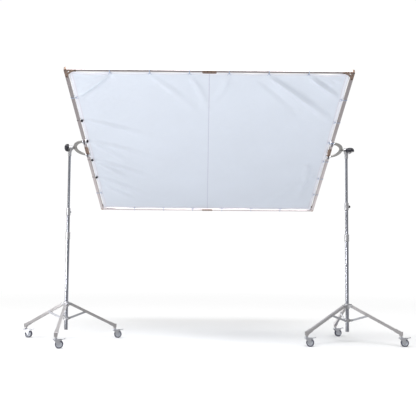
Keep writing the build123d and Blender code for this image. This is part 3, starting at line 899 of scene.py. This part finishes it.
class SCRIM_OT_grommets(bpy.types.Operator):
    """Set a metal ring in the hem at every tie and corner"""

    bl_idname = "scrim.grommets"
    bl_label = "Grommets"

    def execute(self, context):
        settings = context.scene.scrim_ties
        places = []
        for edge in ("top", "bottom", "left", "right"):
            places += edge_places(edge, INNER_TIES)
        out = GROMMETS_OUT
        places += [FLAT @ Matrix.Translation((x, y, 0)) for x in (-out, out) for y in (-out, out)]
        sizes = [("Ring Radius", "NodeSocketFloat", 0.0075), ("Wire Radius", "NodeSocketFloat", 0.002)]
        tree = spread_tree("grommet_rings", sizes, ring_shape)
        values = {"Ring Radius": settings.ring, "Wire Radius": settings.wire}
        values["Material"] = metal_finish("grommet_metal", settings.brass, 0.3, (300, 300, 300))
        source = points_object("grommet_places", places)
        grown("scrim_grommets", source, tree, values, "frame")
        return {"FINISHED"}


class SCRIM_OT_ties(bpy.types.Operator):
    """Lace the cloth to the tubes with ball loops and cords"""

    bl_idname = "scrim.ties"
    bl_label = "Ties"

    def execute(self, context):
        settings = context.scene.scrim_ties
        black = paint_finish("ball_plastic", settings.black, 0.32, speck=0.15)
        pale = cord_finish("tie_cord", settings.pale)
        sizes = [("Shape", "NodeSocketObject", None)]
        tree = spread_tree("ties_on_grommets", sizes, object_shape)

        def spread(name, shape, places, material):
            pattern = mesh_object(name + "_pattern", *shape)
            values = {"Shape": pattern, "Material": material}
            piece = grown(name, points_object(name + "_places", places), tree, values, "frame")
            bpy.data.objects.remove(pattern)
            return piece

        balls = edge_places("left", INNER_TIES[1:5])
        elastic = settings.elastic
        loops = strands(elastic, 0.0015, 1.2)
        ball_at = Vector((0, 0.004, settings.ball + 0.0045))  # clear of the cloth
        spread("ball_loops", joined(loops), balls, cord_finish("grey_elastic", settings.elastic_colour))
        spread("tie_balls", ball_mesh(ball_at, settings.ball), balls, black)

        cord = settings.cord
        turns = strands(cord, 0.0019, 1.0)
        tied = edge_places("top", INNER_TIES) + edge_places("bottom", INNER_TIES)
        tied += edge_places("right", INNER_TIES)
        tied += edge_places("left", [INNER_TIES[0], INNER_TIES[5]])
        cords = spread("cord_ties", joined(turns + tied_knot(cord) + loose_ends(cord)), tied, pale)
        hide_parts("scrim_ties")
        return {"FINISHED"}


# Casters -----------------------------------------------------
class CasterSettings(bpy.types.PropertyGroup):
    radius: length_of("Radius", "Wheel radius", 0.0375)
    width: length_of("Width", "Tyre width", 0.025)
    web: length_of("Rim radius", "Radius of the pale centre", 0.0262)
    spokes: IntProperty(name="Ribs", description="Ribs on each face of the web", default=9, min=3)
    rubber: colour_of("Rubber", "Colour of the tyres", (0.055, 0.055, 0.075))
    centre: colour_of("Centre", "Colour of the wheel centres", (0.52, 0.54, 0.58))


TYRE_SPARE = 0.0001  # keeps the tyre just inside the wheel's own radius
HALF_HUB = 0.0145  # half of a hub's length


def wheel_frame(name):
    """A wheel's frame: Z along its axle, at its centre."""
    joint = JOINTS[name + "_spin"]
    axle = Vector(joint["axis"]).normalized()
    across = axle.cross(Vector((0, 0, 1))).normalized()
    turn = Matrix((across, axle.cross(across), axle)).transposed().to_4x4()
    return Matrix.Translation(joint["pos_m"]) @ turn


def tyre_profile(radius, width, inner):
    """A tyre's section: flat tread with two grooves and round shoulders."""
    half = width / 2
    soft = 0.005
    profile = [(inner, -half + 0.003), (inner + 0.003, -half)]
    for k in range(6):
        angle = radians(-90 + 90 * k / 5)
        profile.append((radius - soft + soft * cos(angle), -half + soft + soft * sin(angle)))
    for groove in (-0.003, 0.003):
        profile += [(radius, groove - 0.0009), (radius - 0.0011, groove - 0.0005)]
        profile += [(radius - 0.0011, groove + 0.0005), (radius, groove + 0.0009)]
    for k in range(6):
        angle = radians(90 * k / 5)
        profile.append((radius - soft + soft * cos(angle), half - soft + soft * sin(angle)))
    return profile + [(inner + 0.003, half), (inner, half - 0.003)]


def centre_profile(rim, half_hub):
    """The pale centre's section: rim, thin web and hub with a bore for the axle."""
    bore, hub, web, lip, side, edge = 0.0042, 0.0095, 0.004, 0.0032, 0.0098, 0.001
    inner = rim - lip
    upper = [(bore, half_hub), (hub - edge, half_hub), (hub, half_hub - edge)]
    upper += [(hub + edge, web + edge), (hub + 3 * edge, web)]
    upper += [(inner - 2 * edge, web), (inner, web + 2 * edge), (inner, side), (rim, side)]
    return [(r, z) for r, z in reversed(upper)] + [(r, -z) for r, z in upper]


class SCRIM_OT_wheels(bpy.types.Operator):
    """Turn a rubber tyre and a ribbed pale centre for each caster"""

    bl_idname = "scrim.wheels"
    bl_label = "Wheels"

    def execute(self, context):
        settings = context.scene.scrim_casters
        rubber = rubber_finish("tyre_rubber", settings.rubber)
        pale = paint_finish("wheel_centre", settings.centre, 0.42, speck=0.2)
        tree = spread_tree("wheel_ribs", [("Shape", "NodeSocketObject", None)], object_shape)
        for side in STANDS:
            for number in (1, 2, 3):
                body = f"{side}_wheel_{number}"
                place = wheel_frame(body)
                profile = tyre_profile(settings.radius - TYRE_SPARE, settings.width, settings.web)
                tyre = mesh_object(body + "_tyre", *turned_profile(profile, 56, place), rubber)
                centre_shape = turned_profile(centre_profile(settings.web, HALF_HUB), 48, place)
                centre = mesh_object(body + "_centre", *centre_shape, pale)
                for piece, slot in ((tyre, "wheel_rubber"), (centre, "grey_plastic")):
                    outward(piece)
                    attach(piece, body)
                    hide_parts(body)
                rib = rib_pattern(settings)
                ribs = []
                for k in range(settings.spokes):
                    for face in (1, -1):
                        turn = Matrix.Rotation(tau * k / settings.spokes, 4, "Z")
                        flip = Matrix.Rotation(0 if face > 0 else pi, 4, "X")
                        ribs.append(place @ turn @ flip)
                values = {"Shape": rib, "Material": pale}
                source = points_object("rib_places", ribs)
                grown(body + "_ribs", source, tree, values, body)
                bpy.data.objects.remove(rib)
        return {"FINISHED"}


def rib_pattern(settings):
    """One radial rib on the web."""
    low, high, thick = 0.0100, settings.web - 0.0030, 0.0011
    base, top = 0.0036, 0.0078
    corners = [(low, -thick, base), (high, -thick, base), (high, thick, base), (low, thick, base)]
    slim, dropped = thick * 0.6, top - 0.001
    corners += [(low, -slim, top), (high, -slim, dropped), (high, slim, dropped), (low, slim, top)]
    faces = [(3, 2, 1, 0), (4, 5, 6, 7), (0, 1, 5, 4), (1, 2, 6, 5), (2, 3, 7, 6), (3, 0, 4, 7)]
    return mesh_object("rib_pattern", corners, faces, smooth=False)


def outward(piece):
    """Points a closed piece's faces outwards."""
    solid = bmesh.new()
    solid.from_mesh(piece.data)
    bmesh.ops.remove_doubles(solid, verts=solid.verts, dist=1e-7)
    bmesh.ops.recalc_face_normals(solid, faces=solid.faces)
    solid.to_mesh(piece.data)
    solid.free()


# Metalwork ---------------------------------------------------
class MetalSettings(bpy.types.PropertyGroup):
    frame_colour: colour_of("Frame tube", "Colour of the frame tubes", (0.60, 0.55, 0.56))
    plate_colour: colour_of("Plates", "Colour of gussets and splices", (0.30, 0.215, 0.175))
    chrome_colour: colour_of("Columns", "Colour of the column tubes", (0.42, 0.43, 0.48))
    cast_colour: colour_of("Castings", "Colour of the castings", (0.60, 0.60, 0.62))
    leg_colour: colour_of("Legs", "Colour of the legs", (0.70, 0.68, 0.69))
    zinc_colour: colour_of("Zinc", "Colour of pressed parts", (0.72, 0.73, 0.78))
    black_colour: colour_of("Knobs", "Colour of the knobs", (0.014, 0.014, 0.022))
    roughness: amount_of("Roughness", "Roughness of bare metal", 0.3, min=0, max=1)


def paint(material, *nodes):
    """Gives CAD nodes one material."""
    for node in nodes:
        piece = frame["nodes"][node]
        piece.data.materials.clear()
        piece.data.materials.append(material)


class SCRIM_OT_frame_metal(bpy.types.Operator):
    """Finish the frame's tubes, plates, ears, clamps and bolts"""

    bl_idname = "scrim.frame_metal"
    bl_label = "Frame metal"

    def execute(self, context):
        settings = context.scene.scrim_metal
        rough = settings.roughness
        tube = metal_finish("frame_aluminium", settings.frame_colour, rough + 0.1, (60, 60, 60))
        bolt = metal_finish("dark_bolt", (0.1, 0.09, 0.1), 0.4, (400, 400, 400), metallic=0.6)
        ear = metal_finish("ear_steel", (0.42, 0.41, 0.40), rough + 0.12, (90, 90, 90))
        clamp = metal_finish("clamp_zinc", settings.zinc_colour, rough, (120, 120, 120))
        plate = plate_finish("bronzed_plate", settings.plate_colour, 0.42)
        paint(tube, "frame_tubes")
        paint(plate, "frame_corners", "frame_splices")
        paint(bolt, "frame_bolts")
        paint(ear, "frame_ears")
        paint(clamp, "ear_clamps")
        return {"FINISHED"}


class SCRIM_OT_stand_metal(bpy.types.Operator):
    """Finish the columns, collars, heads, hubs, legs, forks and knobs"""

    bl_idname = "scrim.stand_metal"
    bl_label = "Stand metal"

    def execute(self, context):
        settings = context.scene.scrim_metal
        rough = settings.roughness
        chrome = metal_finish(
            "column_chrome", settings.chrome_colour, rough - 0.06, (300, 300, 2), 0.04, lift=0.000002
        )
        cast = metal_finish(
            "satin_casting", settings.cast_colour, rough + 0.08, (220, 220, 220), lift=0.00006
        )
        leg = metal_finish("leg_zinc", settings.leg_colour, rough, (90, 90, 200))
        zinc = metal_finish("pressed_zinc", settings.zinc_colour, rough, (160, 160, 160))
        black = paint_finish("knob_black", settings.black_colour, 0.35, speck=0.2)
        foot = paint_finish("foot_plastic", (0.32, 0.31, 0.32), 0.55)
        paint(chrome, "lower_tubes")
        paint(cast, "lower_collars", "brace_collars")
        paint(foot, "column_feet")
        for side in STANDS:
            paint(chrome, f"{side}_mid_tube", f"{side}_top_tube")
            paint(cast, f"{side}_upper_collar", f"{side}_head", f"{side}_hub")
            paint(black, *(f"{side}_{part}_knob" for part in ("head", "lower", "upper", "hub")))
            for number in (1, 2, 3):
                paint(leg, f"{side}_leg_{number}")
                paint(zinc, *(f"{side}_{part}_{number}" for part in ("brace", "fork", "pedal")))
        return {"FINISHED"}


# Stage -------------------------------------------------------
class StageSettings(bpy.types.PropertyGroup):
    lens: amount_of("Lens", "Focal length in millimetres", 58.26)
    sky: amount_of("Sky", "Strength of the white surround", 1.0)
    low: amount_of("Horizon", "Brightness mirrored from the horizon", 0.3)
    high: amount_of("Zenith", "Brightness mirrored from above", 0.75)
    sun: amount_of("Overhead", "Strength of the even light from above", 0.85)
    softbox: amount_of("Softbox", "Power of the softbox", 300.0, subtype="POWER")
    fill: amount_of("Fill", "Power of the light in front", 110.0, subtype="POWER")


WHITE = (1, 1, 1, 1)
GLOW = 1.02  # brightness of the white surround
FLOOR_FADE = (2.6, 9.0)  # distances from the middle between which the floor turns white
# painted reflection: the floor glows for glossy rays only, so metal mirrors it dim below the frame, as painted
# shade, and brighter towards the back
SHEEN_SPAN, SHEEN_LOW, SHEEN_GAIN = (0.3, 1.9), 0.45, 0.75
CAMERA_PLACE = (-0.032, -6.609, 0.869)
CAMERA_TURN = (0.30, 3.764, 0.468)  # yaw, pitch and roll in degrees


def area_light(name, place, aim, size, power):
    """A soft light of a width and a height that looks at a point."""
    lamp = bpy.data.lights.new(name, "AREA")
    lamp.shape = "RECTANGLE"
    lamp.size, lamp.size_y = size
    lamp.energy = power
    holder = placed(name, lamp)
    holder.location = place
    holder.rotation_euler = (Vector(aim) - Vector(place)).to_track_quat("-Z", "Y").to_euler()


def studio_sky(settings):
    """White behind the object; what the metal mirrors goes from dark at the horizon to pale above."""
    make = Finish("studio", bpy.data.worlds.new("studio"))
    height = make.axes(make.node("ShaderNodeTexCoord", output="Generated"))[2]
    span = {"From Min": -0.1, "From Max": 0.8, "To Min": settings.low, "To Max": settings.high}
    mirrored = make.node("ShaderNodeMapRange", {}, {"Value": height, **span})
    seen = make.node("ShaderNodeLightPath", output="Is Camera Ray")
    tone = make.mix(seen, mirrored, (GLOW, GLOW, GLOW, 1))
    back = make.node("ShaderNodeBackground", {}, {"Color": tone, "Strength": settings.sky})
    return make.done(back, "ShaderNodeOutputWorld")


class SCRIM_OT_stage(bpy.types.Operator):
    """Set up the floor, the soft light and the camera"""

    bl_idname = "scrim.stage"
    bl_label = "Stage"

    def execute(self, context):
        settings = context.scene.scrim_stage
        make = Finish("pale_floor")
        cloud = make.cloud(1.5, 3.0)
        tone = make.mix(cloud, (0.93, 0.93, 0.93, 1), (0.95, 0.95, 0.95, 1))
        x, y, z = make.axes(make.place())
        far = make.ramp((x * x + y * y) ** 0.5, *FLOOR_FADE)
        ground = make.surface(Base_Color=tone, Roughness=0.9, Metallic=0.0)
        glow = make.node("ShaderNodeEmission", {}, {"Color": WHITE, "Strength": GLOW})
        seen = make.node("ShaderNodeMixShader", {}, {0: far, 1: ground, 2: glow})
        # painted reflection: glossy rays see the floor glow, dimmer below the frame as painted shade and brighter
        # behind it
        painted_floor_sheen = make.ramp(y, *SHEEN_SPAN) * SHEEN_GAIN + SHEEN_LOW
        mirrored = make.node("ShaderNodeEmission", {}, {"Color": WHITE, "Strength": painted_floor_sheen})
        glossy = make.node("ShaderNodeLightPath", output="Is Glossy Ray")
        floor_finish = make.done(make.node("ShaderNodeMixShader", {}, {0: glossy, 1: seen, 2: mirrored}))
        wide = 40.0
        corners = [(-wide, -wide, 0), (wide, -wide, 0), (wide, wide, 0), (-wide, wide, 0)]
        floor = mesh_object("studio_floor", corners, [(0, 1, 2, 3)], floor_finish)
        context.scene.view_settings.view_transform = "Standard"
        context.scene.world = studio_sky(settings)
        area_light("fill_front", (-5.2, -3.2, 0.7), (0, 0, 1.9), (1.0, 1.0), settings.fill)
        area_light("softbox", (0, -3.5, 6.2), (0, -0.9, 2.3), (5.6, 2.2), settings.softbox)
        lamp = bpy.data.lights.new("overhead", "SUN")
        lamp.energy = settings.sun
        lamp.angle = radians(24)
        overhead = placed("overhead", lamp)
        overhead.rotation_euler = (radians(-8), radians(-38), 0)
        yaw, pitch, roll = (radians(a) for a in CAMERA_TURN)
        ahead = Vector((sin(yaw) * cos(pitch), cos(yaw) * cos(pitch), sin(pitch)))
        right = Vector((cos(yaw), -sin(yaw), 0))
        up = right.cross(ahead)
        right, up = right * cos(roll) + up * sin(roll), up * cos(roll) - right * sin(roll)
        lens = bpy.data.cameras.new("camera")
        lens.lens = settings.lens
        lens.clip_end = 200
        camera = placed("camera", lens)
        turn = Matrix((right, up, -ahead)).transposed().to_4x4()
        camera.matrix_world = Matrix.Translation(CAMERA_PLACE) @ turn
        context.scene.camera = camera
        return {"FINISHED"}


# Panel and registration --------------------------------------
STEPS = ("frame_metal", "stand_metal", "cloth", "grommets", "ties", "wheels", "stage")


class SCRIM_PT_panel(bpy.types.Panel):
    """Lists the settings and the steps that make the model"""

    bl_label = "Overhead Scrim"
    bl_space_type = "VIEW_3D"
    bl_region_type = "UI"
    bl_category = "Scrim"

    def draw(self, context):
        for group in ("cloth", "ties", "casters", "metal", "stage"):
            settings = getattr(context.scene, "scrim_" + group)
            box = self.layout.box()
            for name in settings.bl_rna.properties.keys():
                if name not in ("rna_type", "name"):
                    box.prop(settings, name)
        for step in STEPS:
            self.layout.operator("scrim." + step)


GROUPS = {
    "scrim_cloth": ClothSettings,
    "scrim_ties": TieSettings,
    "scrim_casters": CasterSettings,
    "scrim_metal": MetalSettings,
    "scrim_stage": StageSettings,
}
CLASSES = (
    *GROUPS.values(),
    SCRIM_OT_frame_metal,
    SCRIM_OT_stand_metal,
    SCRIM_OT_cloth,
    SCRIM_OT_grommets,
    SCRIM_OT_ties,
    SCRIM_OT_wheels,
    SCRIM_OT_stage,
    SCRIM_PT_panel,
)


def register():
    for made in CLASSES:
        bpy.utils.register_class(made)
    for name, group in GROUPS.items():
        setattr(bpy.types.Scene, name, PointerProperty(type=group))


def unregister():
    for name in GROUPS:
        delattr(bpy.types.Scene, name)
    for made in reversed(CLASSES):
        bpy.utils.unregister_class(made)


def main():
    """Makes every piece and the stage."""
    register()
    for step in STEPS:
        getattr(bpy.ops.scrim, step)()


if __name__ == "__main__":
    main()
